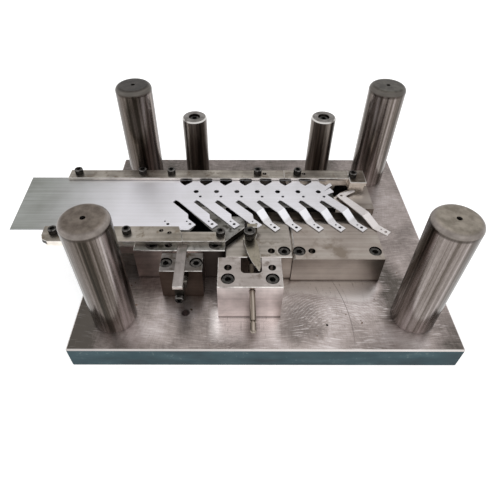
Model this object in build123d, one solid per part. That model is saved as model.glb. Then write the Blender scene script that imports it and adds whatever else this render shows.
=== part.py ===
from build123d import *
from math import cos, radians, sin
import os

# Lower half of a progressive stamping die. Origin: centre of the die shoe's underside.
# +X is the way the strip feeds, +Y points to the rear rail, +Z is up. Millimetres.

os.makedirs("parts", exist_ok=True)

# ---- die shoe and its posts -------------------------------------------------------------
SHOE_W = 400.0
SHOE_D = 330.0
SHOE_T = 30.0
SHOE_CHAMFER = 1.5
POST_R = 22.5
POST_H = 139.0            # above the shoe
POST_ROUND = 6.0
POST_X = SHOE_W / 2 - 42.0
POST_Y = SHOE_D / 2 - 42.5
POST_SEAT_R = 22.2        # turned-down end that is pressed into the shoe
POST_RELIEF = 1.5         # grinding relief between the shoe and the guiding length
POST_RECESS = 2.0         # post ends short of the shoe's underside
POST_HOLE_R = 2.5
POST_HOLE_DEPTH = 14.0
LIMIT_R = 16.0
LIMIT_H = 92.0
LIMIT_X = 85.5
LIMIT_Y = SHOE_D / 2 - 36.0
LIMIT_CBORE_R = 7.5
LIMIT_CBORE_DEPTH = 10.0
SPARE_HOLE = (-83.4, -119.7)
SPARE_R = 4.25            # clearance size for M8
SPARE_DEPTH = 16.0
CENTRE_MARK = (65.6, -134.9)
CENTRE_MARK_R = 1.25
CENTRE_MARK_DEPTH = 8.0

# ---- fits and fixings -------------------------------------------------------------------
SEAT = 0.02               # radial clearance of a pressed pin in its bore
SLIP = 0.05               # radial clearance of a screw shank or a running shaft
BODY_GAP = 0.3            # clearance between pieces that move past each other
SCREW_HEADS = {5: (4.75, 5.0, 4.0), 6: (5.0, 6.0, 5.0), 8: (6.5, 8.0, 6.0)}
CBORE_R = 7.0             # counterbore for an M8 head
CBORE_DEPTH = 9.0
THREAD_DEPTH = 14.0       # how far a screw reaches into the piece that holds it
DOWEL_R = 4.0
DOWEL_SUNK = 5.0          # top of a dowel below the face of its hole
EDGE = 0.7                # ground edge break on the blocks

# ---- heights of the working faces above the shoe ----------------------------------------
LOW_H = 36.0              # forming level: middle and right die blocks
HIGH_H = 44.0             # strip level: left die plate and forming insert
RAIL_T = 5.0
GROOVE_H = 1.8            # slot in a rail that the strip edge runs in

# ---- strip ------------------------------------------------------------------------------
STRIP_T = 1.0
STRIP_Y0 = -39.0
STRIP_Y1 = 58.0
STRIP_LEFT = ((-290.5, 58.0), (-285.0, -39.0))
PITCH = 25.2
STATIONS = 8
ARM_ANGLE = 48.0
ARM_W = 13.1              # width of an arm at its root
TAB_W = 8.6               # width of its end tab
ARM_START = (-100.4, 12.0)   # upper end of arm 1's left edge
SLOT_END = ((-106.2, 9.6), (-103.2, 13.4))
NECK_FROM = 44.5          # distances along the arm from the slot end
NECK_TO = 50.5
ARM_END = 64.8
TAB_HOLES = ((53.4, 1.1), (59.4, 1.8))
TAB_HOLE_LINE = 4.5
FIRST_FORMED = 4
BEND_FROM = 27.5
BEND_TO = 41.3
FORM_SHORTENS = 4.6       # how much nearer the tab is once the arm is formed
WEB_NARROWS = 1.6
PILOT_AT = (-79.5, 29.9)
PILOT_R = 3.15
SMALL_AT = (-73.8, 20.3)
SMALL_R = 1.8
WINDOW = ((-102.0, 53.0), (-85.3, 53.0), (-85.9, 48.9), (-94.5, 41.6), (-100.3, 47.3))
STRIP_END = ((81.5, 24.1), (90.7, 30.0), (87.2, 37.3), (78.2, 30.0), (90.5, 42.8), (85.1, 56.3))

# ---- finished part lying ahead of the strip ---------------------------------------------
PART_OUTLINE = ((95.3, 30.0), (99.0, 34.6), (119.1, 41.6), (119.9, 38.0), (106.0, 29.2), (126.5, -4.7),
                (135.0, -19.0), (137.8, -23.6), (146.8, -35.1), (141.1, -41.1), (128.3, -27.5),
                (118.2, -12.4))
PART_BENDS = (29.5, 48.0)
PART_RISE = 6.0
PART_HOLES = ((137.4, -29.8, 1.1), (141.3, -34.5, 1.8), (101.3, 30.2, 1.8))

# ---- die blocks -------------------------------------------------------------------------
PLATE_X0 = -141.0
PLATE_X1 = -41.5
PLATE_Y0 = -70.0
REAR_Y = 70.0
DIAG_Y = -56.0            # where the plate's slanted end starts
DIAG_TO = (-20.0, -33.0)
TRENCH_Y = (-14.4, 1.5)   # forming trench under the webs of the arms
TRENCH_X = (-42.0, 108.0)
TRENCH_H = 26.0
FORM_SLOT_X = (-40.0, -8.0)
MID_X1 = 31.7
MID_Y0 = -72.0
RIGHT_X1 = 132.3
RIGHT_Y0 = -75.0
JOINT_GAP = 0.4
RIGHT_CHAMFER = 3.0
FRONT_ROW_Y = -62.5
REAR_ROW_Y = 63.5
END_SCREW = (118.0, 57.0)
RAIL_DOWEL_Y = 61.5
INSERT_X1 = 89.5
INSERT_Y0 = 1.8
INSERT_Y1 = 40.8
SECTION_X = (-70.0, -82.0)   # joint between the piercing and pilot plates, before and behind
SECTION_Y = 38.0             # the step in that joint
SEAM = 0.1                   # gap in a joint between two plates
CHANNEL_Y = (40.8, 59.8)     # channel under the cut windows, between insert and rail spacer
CHANNEL_DEPTH = 8.0
PUNCH_CLEAR = 0.25
CHUTE = ((86.5, 31.0), (98.0, 54.5), (112.0, 54.5), (113.0, 47.0), (101.0, 38.8), (94.0, 31.0))
SHOE_CHUTE = ((85.5, 114.5), (30.0, 56.0))
SHOE_WINDOW = ((-103.0, -84.0), (40.6, 54.0))
RIGHT_REAR_X1 = 138.0     # the rear half of the right block is wider
EDGE_NOTCH = (127.6, 0.5, 8.5)   # start in X, then its two Y faces
EDGE_NOTCH_DEPTH = 12.0
INSERT_SCREWS = ((-13.3, 32.0), (59.1, 31.0))

# ---- rails ------------------------------------------------------------------------------
RAIL_X0 = -243.0
REAR_RAIL_Y = (52.3, 69.4)
REAR_SPLIT_X = 31.2
REAR_RAIL_X1 = 113.2
END_PLATE_X1 = 133.6
END_PLATE_Y0 = 43.2
END_SEAT = (114.5, 50.5)  # corner of the spacer's wide part under the end plate
END_RELIEF = (117.0, 50.0)   # the strip's end passes under this corner of the end plate
RISER_Y0 = 59.8
FRONT_RAIL_Y = (-61.0, -36.6)
FRONT_RAIL_NOSE = ((-245.0, -36.6), (-244.3, -51.0), (-241.7, -57.8), (-235.5, -61.0))
SHORT_RAIL_Y = (-60.6, -45.8)
SPLIT_REAR_X = -93.8
SPLIT_FRONT_X = -88.1
SHORT_RAIL_X1 = -41.8
RAIL_SCREW_REAR_X = (-231.5, -149.8, -113.0, -2.5, 48.5)
RAIL_SCREW_FRONT = ((-232.0, -46.5), (-150.8, -46.5), (-46.8, -49.5))
RAIL_DOWEL_R = 2.5
RAIL_DOWEL_REAR_X = (6.3, 56.4)
RAIL_DOWEL_FRONT = ((-113.0, -43.9), (-103.5, -47.6))
SHELF_T = 3.0
SHELF_HOLES = ((-231.5, 63.5), (-149.8, 63.5), (-232.0, -46.5), (-150.8, -46.5))
SHELF_X0 = -238.0
SHELF_Y = (-60.0, 69.0)
BRACKET_X0 = -163.0
BRACKET_H = 12.0

# ---- finger stop ------------------------------------------------------------------------
FINGER_X = (-110.0, -65.0)
FINGER_Y0 = -97.0
FINGER_H = 41.5
BAR_X = (-93.4, -83.2)
BAR_T = 5.0
BAR_Y = (-119.5, -49.5)
BAR_SLOT_END = -45.2
FINGER_SCREWS = ((-104.2, -84.9), (-72.0, -84.9))
LUG_Y = (-112.5, -107.0)
LUG_H0 = 12.5
EAR_X1 = -80.2            # ear of the lug that the return spring pushes on
EAR_Y0 = -109.6
EAR_H0 = 29.5
GUIDE_AT = (-88.8, 18.4)  # guide screw: x and height
SPIGOT_AT = (-83.8, 33.6) # spigot that the return spring sits on
SPIGOT_R = 2.0
SPIGOT_Y = (-102.0, -92.0)
FINGER_SPRING_R = 3.6
FINGER_WIRE_R = 0.55

# ---- lever, its block and plunger -------------------------------------------------------
LEVER_BLOCK_X = (-48.3, 17.3)
LEVER_BLOCK_Y = (-125.0, -84.8)
LEVER_BLOCK_H = 50.0
NOTCH_X = (-24.8, -3.0)
NOTCH_Y0 = -106.8
NOTCH_ROUND = 4.5
LEVER_SCREWS = ((-37.7, -114.0), (7.0, -114.0))
LEVER_DOWELS = ((-37.9, -99.3), (7.3, -99.3))
PIVOT = (-14.8, -50.3)
PIVOT_R = 4.0             # shoulder that the lever turns on
PIVOT_HEAD = (6.3, 5.0, 5.0)   # radius, height and key size
PIVOT_HEAD_H = 51.0
LEVER_BOSS_R = 6.9
LEVER_H = (36.4, 44.0)
LEVER_CURVE = ((-21.0, -54.0), (-15.9, -78.0), (-6.3, -98.3))
LEVER_RIGHT = ((-5.0, -98.3), (-3.5, -91.5), (-3.5, -78.0), (-4.7, -63.5), (-7.9, -50.3))
TAIL_X = (-17.6, -6.4)    # upright tail that feels the tips of the arms
TAIL_Y = (-43.4, -37.4)
TAIL_H = 54.0
HOLD_SPRING_R = 4.55
HOLD_WIRE_R = 0.65
PLUNGER_X = -13.5
PLUNGER_R = 3.0
PLUNGER_H = 43.5
PLUNGER_Y = (-172.0, -91.05)
PLUNGER_NECK = (-163.0, -160.5)
COLLAR_R = 4.8
COLLAR_T = 2.0
CHAMBER_Y0 = -119.5
PLUNGER_WIRE_R = 0.6


LOW_Z = SHOE_T + LOW_H
HIGH_Z = SHOE_T + HIGH_H
RAIL_TOP = HIGH_Z + RAIL_T
STRIP_Z0 = HIGH_Z + BODY_GAP
STRIP_Z1 = STRIP_Z0 + STRIP_T
FORM_DROP = HIGH_H - LOW_H
PLATE_SCREWS = ((-121.4, -61.0), (-52.5, -61.0), (-131.0, 32.0), (-41.0, 12.0))
PLATE_DOWEL = (-103.5, -61.3)
MID_SCREWS = ((23.4, FRONT_ROW_Y), (6.0, 36.0))
MID_DOWEL = (9.2, FRONT_ROW_Y)
RIGHT_SCREWS = ((40.0, FRONT_ROW_Y), (124.0, FRONT_ROW_Y), (44.0, 36.0))
RIGHT_DOWEL = (54.0, FRONT_ROW_Y)


def slab(x_range, y_range, z_range):
    """Box between two corners."""
    size = [b - a for a, b in (x_range, y_range, z_range)]
    middle = [(a + b) / 2 for a, b in (x_range, y_range, z_range)]
    return Pos(*middle) * Box(*size)


def post(x, y, z0, z1, radius):
    """Upright cylinder between two heights."""
    return Pos(x, y, (z0 + z1) / 2) * Cylinder(radius, z1 - z0)


def shaft_y(x, z, y0, y1, radius):
    """Cylinder lying along Y."""
    return Pos(x, (y0 + y1) / 2, z) * Rot(90, 0, 0) * Cylinder(radius, y1 - y0)


def prism(points, z0, z1):
    """Upright prism on a closed outline."""
    face = make_face(Polyline(*points, close=True))
    return Pos(0, 0, z0) * extrude(face, z1 - z0, dir=(0, 0, 1))


def cap_screw(size, length):
    """Socket head cap screw, head up, with the underside of its head at the origin."""
    head_r, head_h, key = SCREW_HEADS[size]
    head = Pos(0, 0, head_h / 2) * Cylinder(head_r, head_h)
    head = chamfer(head.faces().sort_by(Axis.Z)[-1].edges(), 0.5)
    socket = extrude(RegularPolygon(key / 2, 6, major_radius=False), head_h * 0.6)
    head -= Pos(0, 0, head_h * 0.4) * socket
    return head + Pos(0, 0, -length / 2) * Cylinder(size / 2, length)


def group(solids):
    """Several separate solids as one node."""
    return Compound(children=[s for item in solids for s in item.solids()])


def edge_break(block, size=EDGE):
    """Grinds a small chamfer round the upper face."""
    return chamfer(block.faces().sort_by(Axis.Z)[-1].outer_wire().edges(), size)


def screw_hole(block, x, y, top):
    """Counterbored hole for an M8 screw that holds a block to the shoe."""
    block -= post(x, y, top - CBORE_DEPTH, top + 1, CBORE_R)
    return block - post(x, y, SHOE_T - 1, top, 4 + SLIP)


def dowel_hole(block, x, y, top, radius=DOWEL_R):
    return block - post(x, y, SHOE_T - 1, top + 1, radius + SEAT)


def tapped(block, x, y, top, depth, size):
    """Blind hole that a screw ends in."""
    return block - post(x, y, top - depth, top + 1, size / 2 + SLIP)


def shifted(points, dx):
    return [(x + dx, y) for x, y in points]


def arm_point(index, along, across):
    """Point on arm `index`: `along` from its slot end, `across` from its left edge."""
    c = cos(radians(ARM_ANGLE))
    s = sin(radians(ARM_ANGLE))
    x = ARM_START[0] + PITCH * (index - 1) + along * c + across * s
    return (x, ARM_START[1] - along * s + across * c)


def arm_tip(index):
    """Corners of a flat arm from its left end round to its neck."""
    return [
        arm_point(index, ARM_END, 0), arm_point(index, ARM_END, TAB_W),
        arm_point(index, NECK_TO, TAB_W), arm_point(index, NECK_FROM, ARM_W),
    ]


def slug_outline(index, grow=PUNCH_CLEAR):
    """Scrap between arm `index` and the next one, out past the strip edge."""
    out_y = STRIP_Y0 - 1.6
    return [
        (SLOT_END[0][0] + PITCH * index - grow, SLOT_END[0][1]),
        (SLOT_END[1][0] + PITCH * index, SLOT_END[1][1] + grow),
        (ARM_START[0] + PITCH * index + grow, ARM_START[1] + grow),
        (arm_point(index + 1, ARM_END, 0)[0] + 1.5 + grow, out_y),
        (arm_point(index, ARM_END, 0)[0] - grow, out_y),
        arm_point(index, ARM_END, TAB_W + grow), arm_point(index, NECK_TO, TAB_W + grow),
        arm_point(index, NECK_FROM, ARM_W + grow),
    ]


def die_shoe():
    shoe = slab((-SHOE_W / 2, SHOE_W / 2), (-SHOE_D / 2, SHOE_D / 2), (0, SHOE_T))
    shoe = chamfer(shoe.edges(), SHOE_CHAMFER)
    for sx in (-1, 1):
        for sy in (-1, 1):
            shoe -= post(sx * POST_X, sy * POST_Y, -1, SHOE_T + 1, POST_SEAT_R + SEAT)
        shoe = tapped(shoe, sx * LIMIT_X, LIMIT_Y, SHOE_T, THREAD_DEPTH + 2, 8)
    for x, y in PLATE_SCREWS + MID_SCREWS + RIGHT_SCREWS + LEVER_SCREWS + FINGER_SCREWS:
        shoe = tapped(shoe, x, y, SHOE_T, THREAD_DEPTH + 2, 8)
    for x, y in (PLATE_DOWEL, MID_DOWEL, RIGHT_DOWEL) + LEVER_DOWELS:
        shoe -= post(x, y, SHOE_T - THREAD_DEPTH, SHOE_T + 1, DOWEL_R + SEAT)
    shoe -= prism(slug_outline(0), -1, SHOE_T + 1)
    for x_range, y_range in (SHOE_WINDOW, SHOE_CHUTE):
        shoe -= slab(x_range, y_range, (-1, SHOE_T + 1))
    for x, y, r in ((*PILOT_AT, PILOT_R), (*SMALL_AT, SMALL_R)):
        shoe -= post(x, y, -1, SHOE_T + 1, r + 1)
    shoe -= slab(FORM_SLOT_X, (TRENCH_Y[0] + 2, TRENCH_Y[1] - 2), (-1, SHOE_T + 1))
    shoe -= post(*SPARE_HOLE, SHOE_T - SPARE_DEPTH, SHOE_T + 1, SPARE_R)
    return shoe - post(*CENTRE_MARK, SHOE_T - CENTRE_MARK_DEPTH, SHOE_T + 1, CENTRE_MARK_R)


def guide_post(sx, sy):
    x, y = sx * POST_X, sy * POST_Y
    top = SHOE_T + POST_H
    column = post(x, y, SHOE_T + POST_RELIEF, top, POST_R)
    column = fillet(column.faces().sort_by(Axis.Z)[-1].edges(), POST_ROUND)
    column += post(x, y, POST_RECESS, SHOE_T + POST_RELIEF, POST_SEAT_R)
    return column - post(x, y, top - POST_HOLE_DEPTH, top + 1, POST_HOLE_R)


def limit_post(sx):
    top = SHOE_T + LIMIT_H
    column = post(sx * LIMIT_X, LIMIT_Y, SHOE_T, top, LIMIT_R)
    column = chamfer(column.faces().sort_by(Axis.Z)[-1].edges(), SHOE_CHAMFER)
    column -= post(sx * LIMIT_X, LIMIT_Y, top - LIMIT_CBORE_DEPTH, top + 1, LIMIT_CBORE_R)
    return column - post(sx * LIMIT_X, LIMIT_Y, SHOE_T - 1, top, 4 + SLIP)


def limit_post_screws():
    seat = SHOE_T + LIMIT_H - LIMIT_CBORE_DEPTH
    screw = cap_screw(8, LIMIT_H - LIMIT_CBORE_DEPTH + THREAD_DEPTH)
    return group([Pos(sx * LIMIT_X, LIMIT_Y, seat) * screw for sx in (-1, 1)])


def die_plate_left():
    """Front section, which ends in a slant and stops at the forming trench."""
    outline = [
        (PLATE_X0, PLATE_Y0), (PLATE_X1, PLATE_Y0), (PLATE_X1, DIAG_Y), DIAG_TO,
        (DIAG_TO[0], TRENCH_Y[0]), (TRENCH_X[0], TRENCH_Y[0]), (TRENCH_X[0], TRENCH_Y[1]),
        (PLATE_X0, TRENCH_Y[1]),
    ]
    plate = edge_break(prism(outline, SHOE_T, HIGH_Z))
    for x, y in PLATE_SCREWS[:2]:
        plate = screw_hole(plate, x, y, HIGH_Z)
    plate = dowel_hole(plate, *PLATE_DOWEL, HIGH_Z)
    plate -= prism(slug_outline(0), SHOE_T - 1, HIGH_Z + 1)
    for along, r in TAB_HOLES:
        plate -= post(*arm_point(-1, along, TAB_HOLE_LINE), SHOE_T - 1, HIGH_Z + 1, r + PUNCH_CLEAR)
    floor = SHOE_T + FINGER_H - 3.1
    slot_x = (BAR_X[0] - BODY_GAP, BAR_X[1] + BODY_GAP)
    plate -= slab(slot_x, (PLATE_Y0 - 1, BAR_SLOT_END), (floor, HIGH_Z + 1))
    plate = tapped(plate, *RAIL_SCREW_FRONT[2], HIGH_Z, THREAD_DEPTH, 6)
    for x, y in RAIL_DOWEL_FRONT:
        plate -= post(x, y, HIGH_Z - 10, HIGH_Z + 1, RAIL_DOWEL_R + SEAT)
    return plate


def piercing_plate():
    """Rear section, in which the edge windows and the pilot holes are punched."""
    outline = [
        (PLATE_X0, TRENCH_Y[1] + SEAM), (SECTION_X[0], TRENCH_Y[1] + SEAM), (SECTION_X[0], SECTION_Y),
        (SECTION_X[1], SECTION_Y), (SECTION_X[1], REAR_Y), (PLATE_X0, REAR_Y),
    ]
    plate = edge_break(prism(outline, SHOE_T, HIGH_Z), 0.3)
    plate = screw_hole(plate, *PLATE_SCREWS[2], HIGH_Z)
    for punched in (WINDOW, slug_outline(0)):
        plate -= prism(punched, SHOE_T - 1, HIGH_Z + 1)
    for x, y, r in ((*PILOT_AT, PILOT_R), (*SMALL_AT, SMALL_R)):
        plate -= post(x, y, SHOE_T - 1, HIGH_Z + 1, r + PUNCH_CLEAR)
    return tapped(plate, RAIL_SCREW_REAR_X[2], REAR_ROW_Y, HIGH_Z, THREAD_DEPTH, 6)


def pilot_plate():
    """Section beside the piercing plate, with a channel under the cut windows."""
    x0, x1 = SECTION_X[0] + SEAM, SECTION_X[1] + SEAM
    outline = [
        (x0, TRENCH_Y[1] + SEAM), (DIAG_TO[0], TRENCH_Y[1] + SEAM), (DIAG_TO[0], REAR_Y), (x1, REAR_Y),
        (x1, SECTION_Y + SEAM), (x0, SECTION_Y + SEAM),
    ]
    plate = edge_break(prism(outline, SHOE_T, HIGH_Z), 0.3)
    plate = screw_hole(plate, *PLATE_SCREWS[3], HIGH_Z)
    return plate - slab((x1 - 1, DIAG_TO[0] + 1), CHANNEL_Y, (HIGH_Z - CHANNEL_DEPTH, HIGH_Z + 1))


def die_block_middle():
    left = DIAG_TO[0] + JOINT_GAP / 2
    outline = [
        (PLATE_X1 + JOINT_GAP / 2, MID_Y0), (MID_X1, MID_Y0), (MID_X1, REAR_Y), (left, REAR_Y),
        (left, DIAG_TO[1]), (PLATE_X1 + JOINT_GAP / 2, DIAG_Y),
    ]
    block = edge_break(prism(outline, SHOE_T, LOW_Z))
    for x, y in MID_SCREWS:
        block = screw_hole(block, x, y, LOW_Z)
    block = dowel_hole(block, *MID_DOWEL, LOW_Z)
    block = tapped(block, *PIVOT, LOW_Z, THREAD_DEPTH, 6)
    block -= slab((left - 1, MID_X1 + 1), TRENCH_Y, (SHOE_T + TRENCH_H, LOW_Z + 1))
    block -= slab((left - 1, FORM_SLOT_X[1]), (TRENCH_Y[0] + 2, TRENCH_Y[1] - 2), (SHOE_T - 1, LOW_Z))
    for x, y in INSERT_SCREWS[:1]:
        block = tapped(block, x, y, LOW_Z, THREAD_DEPTH, 5)
    for x in RAIL_SCREW_REAR_X[3:4]:
        block = tapped(block, x, REAR_ROW_Y, LOW_Z, THREAD_DEPTH, 6)
    return block


def die_block_right():
    x0 = MID_X1 + JOINT_GAP
    notch_x, notch_y0, notch_y1 = EDGE_NOTCH
    outline = [
        (x0, RIGHT_Y0), (RIGHT_X1, RIGHT_Y0), (RIGHT_X1, notch_y1), (RIGHT_REAR_X1, notch_y1),
        (RIGHT_REAR_X1, REAR_Y), (x0, REAR_Y),
    ]
    block = prism(outline, SHOE_T, LOW_Z)
    top = block.faces().sort_by(Axis.Z)[-1].edges()
    left_edge = top.filter_by(Axis.Y).sort_by(Axis.X)[0]
    block = chamfer(left_edge, RIGHT_CHAMFER)
    for x, y in RIGHT_SCREWS:
        block = screw_hole(block, x, y, LOW_Z)
    block = dowel_hole(block, *RIGHT_DOWEL, LOW_Z)
    block -= prism(CHUTE, SHOE_T - 1, LOW_Z + 1)
    block -= slab((x0 - 1, TRENCH_X[1]), TRENCH_Y, (SHOE_T + TRENCH_H, LOW_Z + 1))
    block -= slab((notch_x, RIGHT_X1 + 1), (notch_y0, notch_y1), (LOW_Z - EDGE_NOTCH_DEPTH, LOW_Z + 1))
    for x, y in INSERT_SCREWS[1:]:
        block = tapped(block, x, y, LOW_Z, THREAD_DEPTH, 5)
    for x, y in ((RAIL_SCREW_REAR_X[4], REAR_ROW_Y), END_SCREW):
        block = tapped(block, x, y, LOW_Z, THREAD_DEPTH, 6)
    return block


def form_insert():
    insert = slab((DIAG_TO[0] + JOINT_GAP, INSERT_X1), (INSERT_Y0, INSERT_Y1), (LOW_Z, HIGH_Z))
    insert = edge_break(insert, 0.4)
    for index in range(3, STATIONS + 1):
        x = PILOT_AT[0] + PITCH * index
        if x < INSERT_X1 - 6:
            insert -= post(x, PILOT_AT[1], LOW_Z - 1, HIGH_Z + 1, PILOT_R + PUNCH_CLEAR)
        x = SMALL_AT[0] + PITCH * index
        if x < INSERT_X1 - 6:
            insert -= post(x, SMALL_AT[1], LOW_Z - 1, HIGH_Z + 1, SMALL_R + PUNCH_CLEAR)
    for x, y in INSERT_SCREWS:
        insert -= post(x, y, HIGH_Z - 5.2, HIGH_Z + 1, 5.0)
        insert -= post(x, y, LOW_Z - 1, HIGH_Z, 2.5 + SLIP)
    corner = [(INSERT_X1 - 12, INSERT_Y1 + 1), (INSERT_X1 + 1, 28.0), (INSERT_X1 + 1, INSERT_Y1 + 1)]
    return insert - prism(corner, LOW_Z - 1, HIGH_Z + 1)


def insert_screws():
    screw = cap_screw(5, 14.0)
    return group([Pos(x, y, HIGH_Z - 5.2) * screw for x, y in INSERT_SCREWS])


def rail_spacer():
    left = DIAG_TO[0] + JOINT_GAP
    outline = [
        (left, RISER_Y0), (END_SEAT[0], RISER_Y0), END_SEAT, (END_PLATE_X1, END_SEAT[1]),
        (END_PLATE_X1, REAR_Y), (left, REAR_Y),
    ]
    spacer = prism(outline, LOW_Z, HIGH_Z)
    for x, y in [(x, REAR_ROW_Y) for x in RAIL_SCREW_REAR_X[3:]] + [END_SCREW]:
        spacer -= post(x, y, LOW_Z - 1, HIGH_Z + 1, 3 + SLIP)
    return spacer


def shelf_bracket():
    top = SHOE_T + HIGH_H - SHELF_T
    bracket = slab((BRACKET_X0, PLATE_X0), SHELF_Y, (top - BRACKET_H, top))
    bracket = edge_break(bracket, 0.5)
    for y, x in ((REAR_ROW_Y, RAIL_SCREW_REAR_X[1]), (RAIL_SCREW_FRONT[1][1], RAIL_SCREW_FRONT[1][0])):
        bracket = tapped(bracket, x, y, top, BRACKET_H - 2, 6)
    return bracket


def stock_shelf():
    top = SHOE_T + HIGH_H
    shelf = slab((SHELF_X0, PLATE_X0 - 0.1), SHELF_Y, (top - SHELF_T, top))
    for x, y in SHELF_HOLES:
        shelf -= post(x, y, top - SHELF_T - 1, top + 1, 3 + SLIP)
    return shelf


def rear_rail(x0, x1, screw_x, dowel_x):
    rail = slab((x0, x1), REAR_RAIL_Y, (HIGH_Z, RAIL_TOP))
    rail = edge_break(rail, 0.4)
    rail -= slab((x0 - 1, x1 + 1), (REAR_RAIL_Y[0] - 1, STRIP_Y1 + 0.5), (HIGH_Z - 1, HIGH_Z + GROOVE_H))
    for x in screw_x:
        rail -= post(x, REAR_ROW_Y, HIGH_Z - 1, RAIL_TOP + 1, 3 + SLIP)
    for x in dowel_x:
        rail -= post(x, RAIL_DOWEL_Y, HIGH_Z - 1, RAIL_TOP + 1, RAIL_DOWEL_R + SEAT)
    return rail


def rear_rail_left():
    return rear_rail(RAIL_X0, REAR_SPLIT_X - 0.15, RAIL_SCREW_REAR_X[:4], RAIL_DOWEL_REAR_X[:1])


def rear_rail_right():
    return rear_rail(REAR_SPLIT_X + 0.15, REAR_RAIL_X1, RAIL_SCREW_REAR_X[4:], RAIL_DOWEL_REAR_X[1:])


def rail_end_plate():
    plate = slab((REAR_RAIL_X1 + 0.1, END_PLATE_X1), (END_PLATE_Y0, REAR_RAIL_Y[1]), (HIGH_Z, RAIL_TOP))
    plate = edge_break(plate, 0.5)
    relief = ((REAR_RAIL_X1 - 1, END_RELIEF[0]), (END_PLATE_Y0 - 1, END_RELIEF[1]))
    plate -= slab(*relief, (HIGH_Z - 1, HIGH_Z + GROOVE_H))
    return plate - post(*END_SCREW, HIGH_Z - 1, RAIL_TOP + 1, 3 + SLIP)


def front_rail_long():
    y0, y1 = FRONT_RAIL_Y
    outline = [
        *FRONT_RAIL_NOSE, (SPLIT_FRONT_X - 0.2, y0),
        (-89.8, -52.0), (-91.6, -44.0), (SPLIT_REAR_X - 0.2, y1),
    ]
    rail = edge_break(prism(outline, HIGH_Z, RAIL_TOP), 0.4)
    groove_x = (FRONT_RAIL_NOSE[0][0] - 1, SPLIT_FRONT_X)
    rail -= slab(groove_x, (STRIP_Y0 - 0.5, y1 + 1), (HIGH_Z - 1, HIGH_Z + GROOVE_H))
    for x, y in RAIL_SCREW_FRONT[:2]:
        rail -= post(x, y, HIGH_Z - 1, RAIL_TOP + 1, 3 + SLIP)
    for x, y in RAIL_DOWEL_FRONT:
        rail -= post(x, y, HIGH_Z - 1, RAIL_TOP + 1, RAIL_DOWEL_R + SEAT)
    return rail


def front_rail_short():
    y0, y1 = SHORT_RAIL_Y
    outline = [
        (SPLIT_FRONT_X + 0.1, y0), (SHORT_RAIL_X1, y0), (SHORT_RAIL_X1, y1), (-90.9, y1), (-89.5, -52.0),
    ]
    rail = edge_break(prism(outline, HIGH_Z, RAIL_TOP), 0.4)
    return rail - post(*RAIL_SCREW_FRONT[2], HIGH_Z - 1, RAIL_TOP + 1, 3 + SLIP)


def rail_screws():
    places = [(x, REAR_ROW_Y) for x in RAIL_SCREW_REAR_X] + [END_SCREW] + list(RAIL_SCREW_FRONT)
    solids = []
    for x, y in places:
        depth = RAIL_T + 11.0
        if x < PLATE_X0:
            depth = RAIL_T + SHELF_T + (BRACKET_H - 3 if x > BRACKET_X0 else 0)
        elif x > DIAG_TO[0]:
            depth = RAIL_T + FORM_DROP + 10.0
        solids.append(Pos(x, y, RAIL_TOP) * cap_screw(6, depth))
    return group(solids)


def rail_dowels():
    rear = [post(x, RAIL_DOWEL_Y, HIGH_Z, RAIL_TOP - 1.5, RAIL_DOWEL_R) for x in RAIL_DOWEL_REAR_X]
    front = [post(x, y, HIGH_Z - 10, RAIL_TOP - 1.5, RAIL_DOWEL_R) for x, y in RAIL_DOWEL_FRONT]
    return group(rear + front)


def block_screws():
    solids = []
    for places, top in ((PLATE_SCREWS, HIGH_H), (MID_SCREWS, LOW_H), (RIGHT_SCREWS, LOW_H)):
        screw = cap_screw(8, top - CBORE_DEPTH + THREAD_DEPTH)
        solids += [Pos(x, y, SHOE_T + top - CBORE_DEPTH) * screw for x, y in places]
    return group(solids)


def sunk_dowel(x, y, top):
    return post(x, y, SHOE_T - THREAD_DEPTH, top - DOWEL_SUNK, DOWEL_R)


def block_dowels():
    places = ((PLATE_DOWEL, HIGH_Z), (MID_DOWEL, LOW_Z), (RIGHT_DOWEL, LOW_Z))
    return group([sunk_dowel(*at, top) for at, top in places])


def finger_block():
    top = SHOE_T + FINGER_H
    block = edge_break(slab(FINGER_X, (FINGER_Y0, PLATE_Y0 - 0.2), (SHOE_T, top)), 0.5)
    slot = (BAR_X[0] - BODY_GAP, BAR_X[1] + BODY_GAP)
    block -= slab(slot, (FINGER_Y0 - 1, PLATE_Y0 + 1), (top - 3.1, top + 1))
    for x, y in FINGER_SCREWS:
        block = screw_hole(block, x, y, top)
    block -= shaft_y(GUIDE_AT[0], SHOE_T + GUIDE_AT[1], FINGER_Y0 - 1, FINGER_Y0 + 14, 2.5 + SLIP)
    return block - shaft_y(SPIGOT_AT[0], SHOE_T + SPIGOT_AT[1], FINGER_Y0 - 1, SPIGOT_Y[1], SPIGOT_R + SEAT)


def finger_block_screws():
    screw = cap_screw(8, FINGER_H - CBORE_DEPTH + THREAD_DEPTH)
    return group([Pos(x, y, SHOE_T + FINGER_H - CBORE_DEPTH) * screw for x, y in FINGER_SCREWS])


def finger_bar():
    z0 = SHOE_T + FINGER_H - 3.1 + BODY_GAP
    bar = slab(BAR_X, BAR_Y, (z0, z0 + BAR_T))
    return chamfer(bar.faces().sort_by(Axis.Y)[0].edges().filter_by(Axis.X), 0.8)


def finger_lug():
    z1 = SHOE_T + FINGER_H - 3.1 + BODY_GAP
    lug = slab(BAR_X, LUG_Y, (SHOE_T + LUG_H0, z1))
    lug += slab((BAR_X[1] - 1, EAR_X1), (EAR_Y0, LUG_Y[1]), (SHOE_T + EAR_H0, z1))
    return lug - shaft_y(GUIDE_AT[0], SHOE_T + GUIDE_AT[1], LUG_Y[0] - 1, LUG_Y[1] + 1, 2.5 + SLIP)


def finger_guide_screw():
    screw = Rot(90, 0, 0) * cap_screw(5, FINGER_Y0 + 12 - LUG_Y[0] + BODY_GAP)
    return Pos(GUIDE_AT[0], LUG_Y[0] - BODY_GAP, SHOE_T + GUIDE_AT[1]) * screw


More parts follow.
